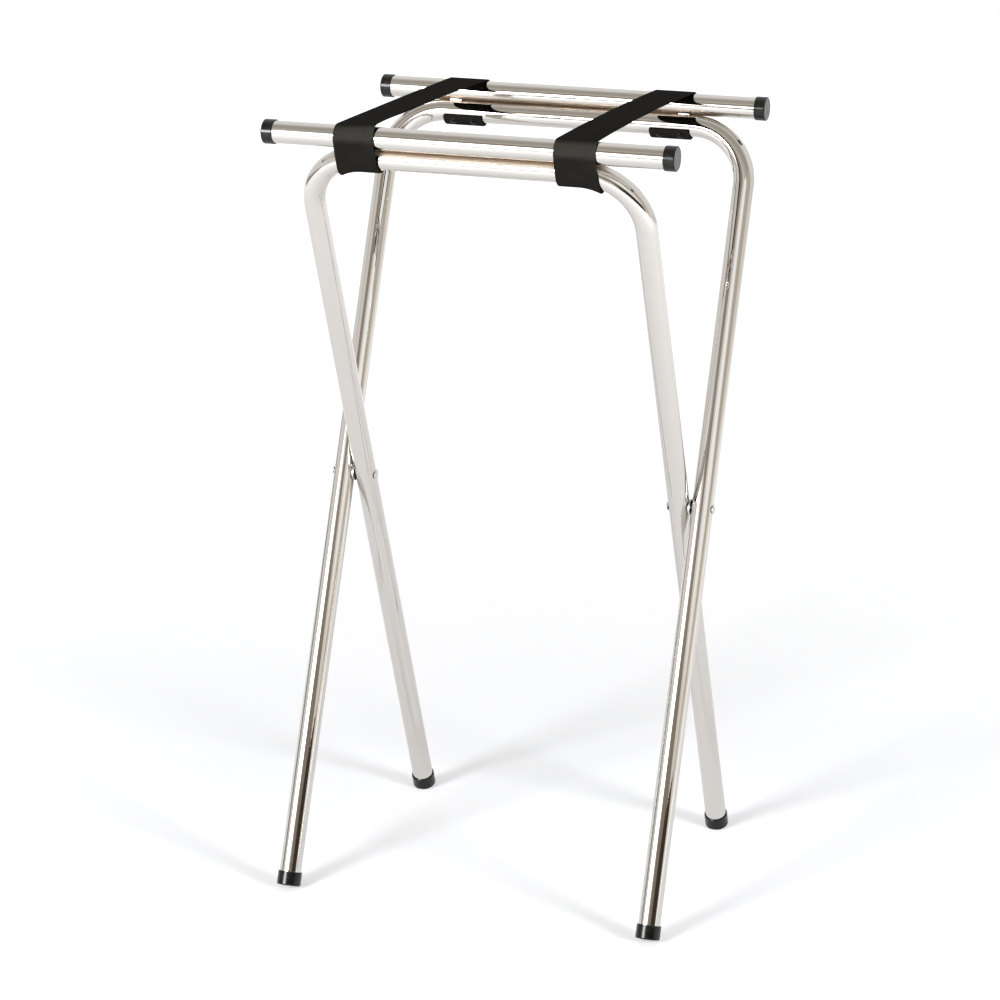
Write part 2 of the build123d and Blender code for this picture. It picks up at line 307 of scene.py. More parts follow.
@dataclass(frozen=True)
class WovenWebbing:
    """Black polypropylene webbing, two inches wide."""

    name: str = "woven_webbing"
    crown: str = "#242320"
    # Tone of the pits between the cords, painted darker: painted shade.
    valley: str = "#0B0B0A"
    faded: str = "#2E2A24"
    # Tone painted where the strap turns over its rail: a painted highlight.
    rubbed_and_highlit: str = "#3F3E39"
    # Real cords lie about 0.9 mm apart and real picks about 1.2 mm: drawn wider, to show at this size.
    cord_pitch: float = 0.0022
    pick_pitch: float = 0.0028
    weave_depth: float = 0.00022
    fade_size: float = 0.035
    # Part of the noise over which the crowns fade.
    fade_range: tuple[float, float] = (0.45, 0.8)
    # Where the strap turns down over its rail, measured along it from mid-span: it is painted paler there, a
    # painted highlight.
    highlight_middle: float = 0.190
    highlight_reach: float = 0.012
    roughness: float = 0.85
    # Loose fibres break up the glare that a flat plastic shows at a low angle.
    glare: float = 0.01

    def material(self) -> Material:
        """Makes the webbing.

        Returns:
            A woven fabric that follows the strap's own UV map, in metres.
        """
        # Cords run the length of the strap and the picks cross under them, so it shows fine
        # ribs with pits between, painted darker as painted shade, hardly any sheen and slightly
        # faded crowns. Where it turns down over the rails it is painted paler: a painted
        # highlight where the strap faces up to the light.
        material, nodes, shader = blank_material(self.name)
        cloth = nodes.add("TexCoord")["UV"]
        along = nodes.add("SeparateXYZ", {0: cloth})
        waves = []
        for axis, pitch in (("X", self.cord_pitch), ("Y", self.pick_pitch)):
            angle = nodes.add("Math", {0: along[axis], 1: math.tau / pitch}, operation="MULTIPLY")[0]
            waves.append(nodes.add("Math", {0: angle}, operation="SINE")[0])
        crossing = nodes.add("Math", {0: waves[0], 1: waves[1]}, operation="MULTIPLY")[0]
        height = nodes.add("MapRange", {"Value": crossing, "From Min": -1.0, "From Max": 1.0})["Result"]
        fade = nodes.add("TexNoise", {"Vector": cloth, "Scale": 1 / self.fade_size, "Detail": 5.0})["Fac"]
        start, end = self.fade_range
        worn = nodes.add("MapRange", {"Value": fade, "From Min": start, "From Max": end})["Result"]
        tones = {FACTOR: worn, COLOUR_A: linear(self.crown), COLOUR_B: linear(self.faded)}
        yarn = nodes.add("Mix", tones, data_type="RGBA")[COLOUR_OUT]
        # A band painted paler where the strap turns over its rail: a painted highlight.
        off = nodes.add("Math", {0: along["Y"], 1: self.highlight_middle}, operation="SUBTRACT")[0]
        far = nodes.add("Math", {0: off}, operation="ABSOLUTE")[0]
        span = {"From Min": self.highlight_reach / 3, "From Max": self.highlight_reach, "To Min": 1.0, "To Max": 0.0}
        highlight_band = nodes.add("MapRange", {"Value": far, **span}, interpolation_type="SMOOTHSTEP")["Result"]
        tones = {FACTOR: highlight_band, COLOUR_A: yarn, COLOUR_B: linear(self.rubbed_and_highlit)}
        pale = nodes.add("Mix", tones, data_type="RGBA")[COLOUR_OUT]
        # The pits between the cords are painted darker: painted shade.
        tones = {FACTOR: height, COLOUR_A: linear(self.valley), COLOUR_B: pale}
        tint = nodes.add("Mix", tones, data_type="RGBA")[COLOUR_OUT]
        bump = nodes.add("Bump", {"Height": height, "Distance": self.weave_depth, "Strength": 0.8})["Normal"]
        nodes.feed(shader, {"Base Color": tint, "Normal": bump})
        nodes.feed(shader, {"Roughness": self.roughness, "Specular IOR Level": self.glare})
        return material


class Frame(Enum):
    """The two crossing frames, by the word their nodes start with."""

    INNER = "inner"
    OUTER = "outer"

    @property
    def body(self) -> str:
        """Body that the frame's pieces ride on."""
        return f"{self.value}_frame"

    @property
    def end(self) -> str:
        """Which end of the straps the frame holds."""
        return "front" if self is Frame.INNER else "rear"

    @property
    def toward(self) -> float:
        """Sign of Y at the frame's rail."""
        return -1.0 if self is Frame.INNER else 1.0


class Tube(Enum):
    """The two tubes of a frame, by the words their nodes end with."""

    LEGS = "leg_frame"
    RAIL = "top_rail"


class Side(Enum):
    """Left and right of the stand, as the sign of X."""

    LEFT = -1
    RIGHT = 1


class Finish(Enum):
    """Finishes of the pieces that keep their nodes' shapes, by words in the nodes' names."""

    VINYL = ("rail_cap", "foot")
    STEEL = ("pivot",)
    BLACK = ("strap_rivets",)
    PLATE = ("rail_welds",)


@dataclass(frozen=True)
class Stance:
    """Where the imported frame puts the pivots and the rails, in metres."""

    pivot_height: float
    rail_reach: float
    rail_height: float

    @classmethod
    def read(cls, record: dict) -> Stance:
        """Reads the stance from the record's joints.

        Args:
            record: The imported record.

        Returns:
            The stance of the open stand.
        """
        places = {joint["name"]: joint["pos_m"] for joint in record["behaviour"]["joints"]}
        rail = places["rear_strap_swing"]
        return cls(places["fold"][2], rail[1], rail[2])

    @property
    def tilt(self) -> float:
        """Lean of each frame from upright, in radians."""
        return math.atan2(self.rail_reach, self.rail_height - self.pivot_height)

    @property
    def pivot_to_rail(self) -> float:
        """Distance up a frame from the pivots to the rail's axis."""
        return math.hypot(self.rail_reach, self.rail_height - self.pivot_height)


@dataclass(frozen=True)
class Tubing:
    """Sizes of the tubes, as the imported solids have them, in metres."""

    radius: float = 0.0127
    wall: float = 0.001
    bend_radius: float = 0.068
    # From the rail's axis down to that of the bar it lies on.
    rail_step: float = 0.0255
    rail_length: float = 0.476
    # From the pivots down to the end of a leg.
    leg_end: float = 0.49222
    inner_spacing: float = 0.391
    outer_spacing: float = 0.4462


@dataclass(frozen=True)
class FramePlan:
    """Lines of one U frame: X runs along its bar, Y up its legs from the pivots, Z out of its outer face."""

    frame: Frame
    stance: Stance
    tubing: Tubing

    @property
    def spacing(self) -> float:
        """Distance between the axes of the two legs."""
        return self.tubing.inner_spacing if self.frame is Frame.INNER else self.tubing.outer_spacing

    @property
    def straight(self) -> float:
        """Half the length of the bar between its bends."""
        return self.spacing / 2 - self.tubing.bend_radius

    @property
    def bar(self) -> float:
        """Height of the straight bar's axis."""
        return self.stance.pivot_to_rail - self.tubing.rail_step

    def along_bar(self, across: float, rise: float = 0.0) -> float:
        """Follows the bar into its bends.

        Args:
            across: Distance from the stand's middle.
            rise: Height over the bar's axis, square to it.

        Returns:
            Height up the frame from the pivots.
        """
        bend = self.tubing.bend_radius
        past = min(abs(across) - self.straight, bend)
        if past <= 0:
            return self.bar + rise
        return self.bar - bend + math.sqrt((bend + rise) ** 2 - past**2)

    def place(self) -> Matrix:
        """Turns the frame's own axes into the stand's.

        Returns:
            The matrix that stands it up.
        """
        sine, cosine = math.sin(self.stance.tilt), math.cos(self.stance.tilt)
        height = self.stance.pivot_height
        lean = Matrix(((1, 0, 0, 0), (0, -sine, -cosine, 0), (0, cosine, -sine, height), (0, 0, 0, 1)))
        turn = Matrix.Rotation(math.pi if self.frame is Frame.OUTER else 0.0, 4, "Z")
        return turn @ lean


def eased(part: float) -> float:
    """Eases a part of the way from 0 to 1 in and out."""
    held = min(1.0, max(0.0, part))
    return held * held * (3 - 2 * held)


class Assembly:
    """A sub-assembly of new pieces."""

    def dress(self, pieces: list[Object], material: Material) -> None:
        """Gives the pieces their finish."""
        for piece in pieces:
            piece.data.materials.append(material)


@dataclass
class TubeFrame(Assembly):
    """One U frame of bent tube and the straight rail on its bar."""

    plan: FramePlan
    facets: int = 72
    bend_steps: int = 30
    # The rail has rings this far past the straight bar's ends, where its groove opens.
    rail_rings: tuple[float, ...] = (0.05, 0.036, 0.024, 0.012, 0.0)
    # Width of the gap between the tubes up to which the groove is deep, and over which it then ends.
    groove_deep: float = 0.001
    groove_fade: float = 0.009
    merge_distance: float = 1e-6
    # Extruding leaves the order of points and faces to chance: their distance from this point settles it.
    sort_from: tuple[float, float, float] = (0.313, 0.217, 0.571)
    smooth_angle: float = math.radians(40)

    def build(self) -> list[Object]:
        """Models the U and the rail.

        Returns:
            Both tubes, each in place of its node.
        """
        frame = self.plan.frame
        pieces = []
        for tube, kind in ((self.legs(), Tube.LEGS), (self.rail(), Tube.RAIL)):
            tube.name = f"{frame.value}_{kind.value}_tube"
            self.mark_recess(tube, kind)
            tube.data.transform(self.plan.place())
            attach(tube, frame.body)
            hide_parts(f"{frame.value}_{kind.value}")
            pieces.append(tube)
        return pieces

    def ring(self, at: tuple[float, float, float], turn: tuple[float, float, float]) -> Object:
        """Starts a tube as a ring of points in edit mode.

        Args:
            at: Middle of the ring.
            turn: Rotation of the ring, in radians.

        Returns:
            The ring's object, all selected.
        """
        bpy.ops.object.select_all(action="DESELECT")
        bpy.ops.mesh.primitive_circle_add(
            vertices=self.facets, radius=self.plan.tubing.radius, location=at, rotation=turn
        )
        bpy.ops.object.transform_apply(location=True, rotation=True, scale=True)
        bpy.ops.object.mode_set(mode="EDIT")
        bpy.ops.mesh.select_all(action="SELECT")
        return bpy.context.object

    def push(self, way: tuple[float, float, float]) -> None:
        """Extrudes the selected ring along a straight run."""
        bpy.ops.mesh.extrude_region_move(TRANSFORM_OT_translate={"value": way})

    def bend(self, centre: tuple[float, float, float]) -> None:
        """Turns the selected ring a quarter round a corner."""
        bpy.ops.mesh.spin(steps=self.bend_steps, angle=math.pi / 2, center=centre, axis=(0.0, 0.0, 1.0))

    def close(self, tube: Object) -> None:
        """Finishes an open tube: a settled order, clean normals, a wall laid inwards and smooth shading.

        Args:
            tube: The tube, in edit mode.
        """
        bpy.ops.mesh.select_all(action="SELECT")
        bpy.ops.mesh.remove_doubles(threshold=self.merge_distance)
        bpy.context.scene.cursor.location = self.sort_from
        bpy.ops.mesh.sort_elements(type="CURSOR_DISTANCE", elements={"VERT", "EDGE", "FACE"})
        bpy.context.scene.cursor.location = (0.0, 0.0, 0.0)
        bpy.ops.mesh.normals_make_consistent(inside=False)
        bpy.ops.object.mode_set(mode="OBJECT")
        thick = tube.modifiers.new("wall", "SOLIDIFY")
        thick.thickness = self.plan.tubing.wall
        thick.offset = -1.0
        bpy.ops.object.modifier_apply(modifier=thick.name)
        bpy.ops.object.shade_smooth_by_angle(angle=self.smooth_angle)

    def legs(self) -> Object:
        """Bends the U from one foot round to the other.

        Returns:
            The tube, in the frame's own axes.
        """
        half = self.plan.spacing / 2
        bend, foot = self.plan.tubing.bend_radius, self.plan.tubing.leg_end
        corner = self.plan.bar - bend
        tube = self.ring((-half, -foot, 0.0), (math.pi / 2, 0.0, 0.0))
        self.push((0.0, corner + foot, 0.0))
        self.bend((-half + bend, corner, 0.0))
        self.push((self.plan.spacing - 2 * bend, 0.0, 0.0))
        self.bend((half - bend, corner, 0.0))
        self.push((0.0, -corner - foot, 0.0))
        self.close(tube)
        return tube

    def rail(self) -> Object:
        """Draws the straight rail.

        Returns:
            The tube, in the frame's own axes.
        """
        end = self.plan.tubing.rail_length / 2
        tube = self.ring((-end, self.plan.stance.pivot_to_rail, 0.0), (0.0, math.pi / 2, 0.0))
        rings = [self.plan.straight + past for past in self.rail_rings]
        reached = -end
        for stop in (*(-ring for ring in rings), *reversed(rings), end):
            self.push((stop - reached, 0.0, 0.0))
            reached = stop
        self.close(tube)
        return tube

    def mark_recess(self, tube: Object, kind: Tube) -> None:
        """Marks how deep each point lies in the groove between the rail and its bar, where the plate is
        painted darker as painted shade.

        Args:
            tube: The U or the rail, in the frame's own axes.
            kind: Which of the two it is.
        """
        recess = tube.data.attributes.new("recess", "FLOAT", "POINT")
        for point in tube.data.vertices:
            other = self.plan.stance.pivot_to_rail
            if kind is Tube.RAIL:
                other = self.plan.along_bar(point.co.x)
            gap = math.hypot(point.co.y - other, point.co.z) - self.plan.tubing.radius
            recess.data[point.index].value = 1.0 - eased((gap - self.groove_deep) / self.groove_fade)


@dataclass(frozen=True)
class StrapLay:
    """How one half of a strap lies on its rail and bar, in metres."""

    side: Side
    frame: Frame
    # Rise of the arch at mid-span, at the strap's left and right edge.
    rises: tuple[float, float]
    # Shift to the right, at mid-span and from the rail on.
    shifts: tuple[float, float]
    # Slack over the rail at the right edge, from none at the left.
    lift: float = 0.0
    # Angle that the hem reaches round the bar, from its outer face.
    wrap_end: float = math.radians(146)


@dataclass
class StrapHalf:
    """One half of a strap: from mid-span over its rail, down the outer face and hemmed round the bar."""

    plan: FramePlan
    lay: StrapLay
    middle: float = 0.129
    width: float = 0.0482
    thickness: float = 0.0016
    # What a layer takes up, and how far the first one stands off its tube.
    layer: float = 0.0017
    seat: float = 0.0003
    # How far the hem reaches up from the bar's axis.
    hem_rise: float = 0.012
    # Slack starts at this part of the half span and grows over the next; over the rail it goes again.
    slack_start: float = 0.35
    slack_run: float = 0.6
    settle_start: float = 0.3
    settle_run: float = 0.7
    # Steps along the webbing, in order, and then across it.
    arch_steps: int = 30
    over_steps: int = 16
    face_steps: int = 8
    hem_steps: int = 4
    round_steps: int = 20
    fold_steps: int = 8
    columns: int = 18
    selvedge_steps: int = 5
    # Step to either side that gives the webbing's slope across.
    probe: float = 1e-5
    smooth_angle: float = math.radians(50)
    # Line through the rail's axis between the span and the frame's part of the strap: its angle from level,
    # its reach below and above the axis in outer radii of the strap, and a bit more.
    blend_lean: float = math.radians(65)
    blend_below: float = 0.7
    blend_above: float = 0.906
    blend_spare: float = 0.001

    @property
    def name(self) -> str:
        """What the names of the half's nodes start with."""
        return f"{self.lay.side.name.lower()}_strap_{self.plan.frame.end}"

    @property
    def first_radius(self) -> float:
        """Middle of the webbing that lies on a tube."""
        return self.plan.tubing.radius + self.seat + self.layer / 2

    @property
    def second_radius(self) -> float:
        """Middle of the webbing that lies on another layer."""
        return self.first_radius + self.layer

    def column(self, across: float, twist: float) -> list[tuple[float, float]]:
        """Draws the middle line of the webbing at one place across the strap.

        Args:
            across: Distance from the stand's middle.
            twist: Place across the strap, from 0 at its left edge to 1 at its right.

        Returns:
            Points (y, z) for the front end, from mid-span to the turned-under tail.
        """
        stance, along_bar = self.plan.stance, self.plan.along_bar
        sine, cosine = math.sin(stance.tilt), math.cos(stance.tilt)
        first, second = self.first_radius, self.second_radius
        lift = self.lay.lift * twist
        rise = self.lay.rises[0] + (self.lay.rises[1] - self.lay.rises[0]) * twist
        bow = (stance.rail_reach**2 + rise**2) / (2 * rise)
        half = math.asin(stance.rail_reach / bow)
        points = []

        def put(up: float, out: float, slack: float = 0.0) -> None:
            """Adds a point, given up the frame and out of its face."""
            height = stance.pivot_height + up * cosine - out * sine + slack
            points.append((-up * sine - out * cosine, height))

        def put_round(radius: float, angle: float) -> None:
            """Adds a point round the bar, at an angle from its outer face."""
            put(along_bar(across, -radius * math.sin(angle)), radius * math.cos(angle))

        for i in range(self.arch_steps):
            angle = half * i / self.arch_steps
            slack = lift * eased((i / self.arch_steps - self.slack_start) / self.slack_run)
            height = stance.rail_height + rise - bow + (bow + first) * math.cos(angle) + slack
            points.append((-(bow + first) * math.sin(angle), height))
        hem_top = along_bar(across, self.hem_rise)
        drop = stance.pivot_to_rail - hem_top
        top = half - stance.tilt - math.pi / 2
        leave = math.atan2(drop, second) - math.acos(first / math.hypot(drop, second))
        for i in range(self.over_steps):
            angle = top + (leave - top) * i / self.over_steps
            slack = lift * (1 - eased((i / self.over_steps - self.settle_start) / self.settle_run))
            put(stance.pivot_to_rail - first * math.sin(angle), first * math.cos(angle), slack)
        up, out = stance.pivot_to_rail - first * math.sin(leave), first * math.cos(leave)
        for i in range(self.face_steps):
            part = i / self.face_steps
            put(up + (hem_top - up) * part, out + (second - out) * part)
        for i in range(self.hem_steps):
            put(along_bar(across, self.hem_rise * (1 - i / self.hem_steps)), second)
        for i in range(self.round_steps):
            put_round(second, self.lay.wrap_end * i / self.round_steps)
        for i in range(self.fold_steps):
            turn = math.pi * i / self.fold_steps
            radius = (first + second) / 2 + self.layer / 2 * math.cos(turn)
            put_round(radius, self.lay.wrap_end + self.layer / 2 * math.sin(turn) / first)
        for i in range(self.round_steps):
            put_round(first, self.lay.wrap_end * (1 - i / self.round_steps))
        for i in range(self.hem_steps + 1):
            put(along_bar(across, self.hem_rise * i / self.hem_steps), first)
        return points

    def section(self) -> list[tuple[float, float]]:
        """Outlines the webbing's section.

        Returns:
            Points (across, out) from the strap's middle line, once round, with rounded selvedges.
        """
        radius = self.thickness / 2
        flat = self.width / 2 - radius
        top = [(-flat + 2 * flat * i / self.columns, radius) for i in range(self.columns)]
        turns = [math.pi * i / self.selvedge_steps for i in range(self.selvedge_steps)]
        edge = [(flat + radius * math.sin(turn), radius * math.cos(turn)) for turn in turns]
        return top + edge + [(-x, -out) for x, out in top + edge]

    def line(self, across: float, out: float) -> list[Vector]:
        """Draws one line of the webbing's skin along the strap.

        Args:
            across: Place across the strap, from its middle line.
            out: Distance out of the webbing's middle.

        Returns:
            The points of the line, for the front end.
        """
        place = self.lay.side.value * self.middle + across
        twist = across / self.width + 0.5
        steps = (-self.probe, 0.0, self.probe)
        left, middle, right = (self.column(place + step, twist + step / self.width) for step in steps)
        points = []
        for i, (y, z) in enumerate(middle):
            before, after = middle[max(i - 1, 0)], middle[min(i + 1, len(middle) - 1)]
            run = Vector((0.0, after[0] - before[0], after[1] - before[1]))
            over = Vector((2 * self.probe, right[i][0] - left[i][0], right[i][1] - left[i][1]))
            points.append(Vector((place, y, z)) - run.cross(over).normalized() * out)
        return points

    def skin(self, rows: int, count: int) -> list[tuple[int, ...]]:
        """Lists the faces of the webbing, closed at mid-span and at the tail.

        Args:
            rows: Number of points along the strap.
            count: Number of points round its section.

        Returns:
            Each face's vertices, which are counted round the section and then along the strap.
        """
        faces = []
        for row in range(rows - 1):
            here, there = row * count, (row + 1) * count
            for i in range(count):
                after = (i + 1) % count
                faces.append((here + i, here + after, there + after, there + i))
        turn = self.columns + self.selvedge_steps
        back = turn + self.columns
        ends = [(i, i + 1, back - i - 1, back - i) for i in range(self.columns)]
        ends += [tuple(range(self.columns, turn + 1)), (*range(back, count), 0)]
        last = (rows - 1) * count
        faces += [tuple(reversed(face)) for face in ends]
        faces += [tuple(last + i for i in face) for face in ends]
        return faces

    def build(self) -> Object:
        """Weaves the half strap and puts it in place of its wrap and its span.

        Returns:
            The strap piece, in place of its wrap and its span.
        """
        section = self.section()
        grid = [self.line(across, out) for across, out in section]
        centre = grid[self.columns // 2]
        lengths = [0.0]
        for point, following in zip(centre, centre[1:]):
            lengths.append(lengths[-1] + (following - point).length)
        strap = self.weave(grid, [across for across, _ in section], lengths)
        self.fasten(strap)
        return strap

    def weave(self, grid: list[list[Vector]], places: list[float], lengths: list[float]) -> Object:
        """Turns the webbing's lines into a closed mesh with a UV map in metres.

        Args:
            grid: Lines of points along the strap, once round its section.
            places: Place of each line across the strap.
            lengths: Length of the webbing up to each point.

        Returns:
            The strap, smoothly shaded.
        """
        vertices = []
        start, end = self.lay.shifts
        for row in range(len(lengths)):
            for line in grid:
                point = line[row].copy()
                part = min(1.0, abs(point.y) / self.plan.stance.rail_reach)
                point.x += start + (end - start) * part
                point.y *= -self.plan.frame.toward
                vertices.append(point)
        mesh = bpy.data.meshes.new("webbing")
        mesh.from_pydata(vertices, [], self.skin(len(lengths), len(grid)))
        strap = bpy.data.objects.new(f"{self.name}_webbing", mesh)
        bpy.context.scene.collection.objects.link(strap)
        layer = mesh.uv_layers.new(name="weave")
        for loop in mesh.loops:
            row, i = divmod(loop.vertex_index, len(grid))
            layer.data[loop.index].uv = (places[i], lengths[row])
        bpy.ops.object.select_all(action="DESELECT")
        bpy.context.view_layer.objects.active = strap
        strap.select_set(True)
        bpy.ops.object.mode_set(mode="EDIT")
        bpy.ops.mesh.select_all(action="SELECT")
        bpy.ops.mesh.normals_make_consistent(inside=False)
        bpy.ops.object.mode_set(mode="OBJECT")
        bpy.ops.object.shade_smooth_by_angle(angle=self.smooth_angle)
        return strap

    def fasten(self, strap: Object) -> None:
        """Settles the strap into its place and hides the nodes of its wrap and its span.

        Args:
            strap: The strap.
        """
        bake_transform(strap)
        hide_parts(f"{self.name}_wrap", f"{self.name}_span")


@dataclass
class Straps(Assembly):
    """The two straps, each in halves that meet at mid-span."""

    plans: dict[Frame, FramePlan]
    lays: tuple[StrapLay, ...] = (
        StrapLay(Side.LEFT, Frame.INNER, (0.0004, 0.0034), (-0.0005, 0.0003), lift=0.0030),
        StrapLay(Side.LEFT, Frame.OUTER, (0.0004, 0.0034), (-0.0005, -0.0013), wrap_end=math.radians(142)),
        StrapLay(Side.RIGHT, Frame.INNER, (0.0018, 0.0035), (-0.0010, -0.0009), lift=0.0006),
        StrapLay(Side.RIGHT, Frame.OUTER, (0.0018, 0.0035), (-0.0010, -0.0013), wrap_end=math.radians(139)),
    )

    def build(self) -> list[Object]:
        """Weaves the four halves."""
        return [StrapHalf(self.plans[lay.frame], lay).build() for lay in self.lays]


@dataclass
class Hardware:
    """Caps, feet, rivets, washers and weld beads, which keep the shapes of their nodes."""

    finishes: dict[Finish, Material]

    def dress(self, nodes: dict[str, Object]) -> list[str]:
        """Gives each node its finish.

        Args:
            nodes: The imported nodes, by name.

        Returns:
            Names of the nodes that were dressed.
        """
        dressed = []
        for name, node in nodes.items():
            for finish, material in self.finishes.items():
                if any(word in name for word in finish.value):
                    for slot in node.material_slots:
                        slot.material = material
                    dressed.append(name)
        return dressed


@dataclass(frozen=True)
class Lamp:
    """A soft lamp that stands round the stage and faces the stand, unseen by the camera and by gloss."""

    name: str
    azimuth: float
    height: float
    size: tuple[float, float]
    power: float
    distance: float = 4.7

    def build(self) -> None:
        """Hangs the lamp."""
        data = bpy.data.lights.new(self.name, "AREA")
        data.shape = "RECTANGLE"
        data.size, data.size_y = self.size
        data.energy = self.power
        lamp = bpy.data.objects.new(self.name, data)
        bpy.context.scene.collection.objects.link(lamp)
        way = math.radians(self.azimuth)
        spot = Vector((math.sin(way) * self.distance, -math.cos(way) * self.distance, self.height))
        facing = Vector((-spot.x, -spot.y, 0.0)).to_track_quat("-Z", "Y")
        lamp.matrix_world = Matrix.Translation(spot) @ facing.to_matrix().to_4x4()
        lamp.visible_camera = False
        lamp.visible_glossy = False


def light_up(sheet: Object, glow: float = 1.0) -> None:
    """Makes a sheet of the stage glow in its own tones, for nothing but gloss to mirror.

    Args:
        sheet: Sheet with a colour attribute "tone".
        glow: Strength of its light.
    """
    material, nodes, output = glowing_material(f"{sheet.name}_face")
    tone = nodes.add("Attribute", attribute_name="tone")["Color"]
    nodes.feed(output, {"Surface": nodes.add("Emission", {"Color": tone, "Strength": glow})[0]})
    sheet.data.materials.append(material)
    sheet.visible_camera = False
    sheet.visible_shadow = False
    sheet.visible_diffuse = False


@dataclass(frozen=True)
class Card:
    """A tall card at the edge of the stage, for gloss to mirror."""

    name: str
    # Each row's height, azimuth of its middle and half its width in degrees, and tone, from the floor up.
    rows: tuple[tuple[float, float, float, str], ...]
    glow: float = 1.0
    distance: float = 5.0

    def build(self) -> None:
        """Stands the card up, row by row."""
        bpy.ops.object.select_all(action="DESELECT")
        bpy.ops.mesh.primitive_grid_add(x_subdivisions=1, y_subdivisions=len(self.rows) - 1, size=2.0)
        card = bpy.context.object
        card.name = self.name
        tones = card.data.color_attributes.new("tone", "FLOAT_COLOR", "POINT")
        for corner in card.data.vertices:
            height, middle, half, tone = self.rows[round((corner.co.y + 1.0) / 2.0 * (len(self.rows) - 1))]
            way = math.radians(middle + half * corner.co.x)
            tones.data[corner.index].color = linear(tone)
            corner.co = (math.sin(way) * self.distance, -math.cos(way) * self.distance, height)
        light_up(card, self.glow)


@dataclass(frozen=True)
class SoftPanel:
    """A lit panel in front of the stage, hot in its middle and fading to its rim, for gloss to mirror."""

    name: str
    azimuth: float
    half_width: float
    low: float
    high: float
    hot: float = 48.0
    rim: float = 0.9
    fade: float = 4.0
    steps: int = 24
    distance: float = 4.7

    def build(self) -> None:
        """Curves a grid round the stage and gives each of its points its brightness."""
        bpy.ops.object.select_all(action="DESELECT")
        bpy.ops.mesh.primitive_grid_add(x_subdivisions=self.steps, y_subdivisions=self.steps, size=2.0)
        panel = bpy.context.object
        panel.name = self.name
        tones = panel.data.color_attributes.new("tone", "FLOAT_COLOR", "POINT")
        for point in panel.data.vertices:
            across, up = point.co.x, point.co.y
            core = ((1.0 - across**2) * (1.0 - up**2)) ** self.fade
            bright = self.rim + (self.hot - self.rim) * core
            tones.data[point.index].color = (bright, bright, bright, 1.0)
            way = math.radians(self.azimuth + self.half_width * across)
            height = self.low + (self.high - self.low) * (up + 1.0) / 2.0
            point.co = (math.sin(way) * self.distance, -math.cos(way) * self.distance, height)
        light_up(panel)


